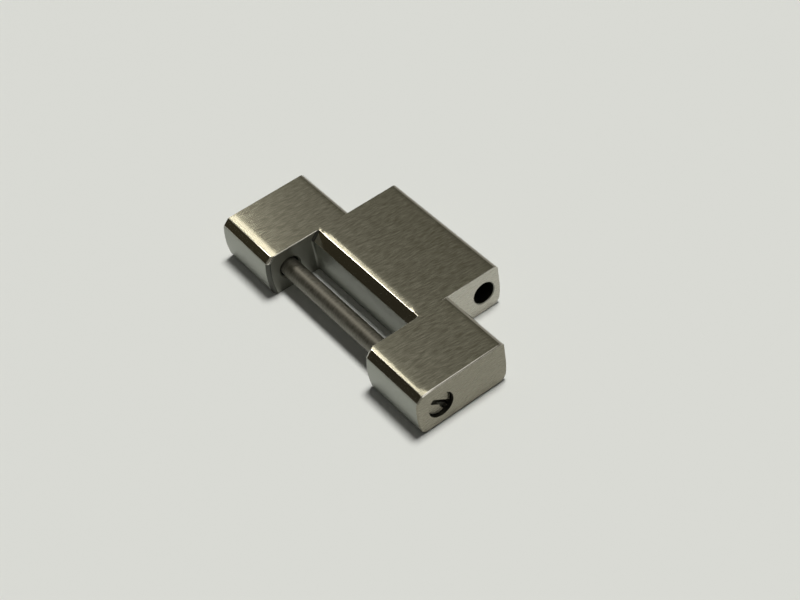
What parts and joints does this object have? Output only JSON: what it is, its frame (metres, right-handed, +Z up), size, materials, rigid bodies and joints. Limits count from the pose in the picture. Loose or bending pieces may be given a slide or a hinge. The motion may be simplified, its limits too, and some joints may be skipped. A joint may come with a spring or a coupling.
{
  "type": "watch bracelet link",
  "caption": "Solid steel watch bracelet link, with a fork and a tongue milled from the solid and a slotted cross screw that carries the next link's tongue.",
  "frame": {"origin": "on the underside, in the middle of the link's width and of its length", "axes": "+X across the bracelet, towards the end face that shows the screw's head; +Y along the bracelet, from the fork to the tongue; +Z up, away from the wrist"},
  "size_m": [0.02, 0.01, 0.003],
  "materials": {
    "brushed_steel_body": "top and sides brushed along the bracelet, bevels polished, stainless steel",
    "turned_steel_screw": "finely turned stainless steel, close to polished"
  },
  "bodies": {
    "body": {"link_body": "brushed_steel_body"},
    "screw": {"link_screw": "turned_steel_screw"}
  },
  "joints": [
    {"name": "screw_draw", "type": "slide", "parent": "body", "child": "screw", "axis": [1, 0, 0], "range_m": [0, 0.019]}
  ]
}
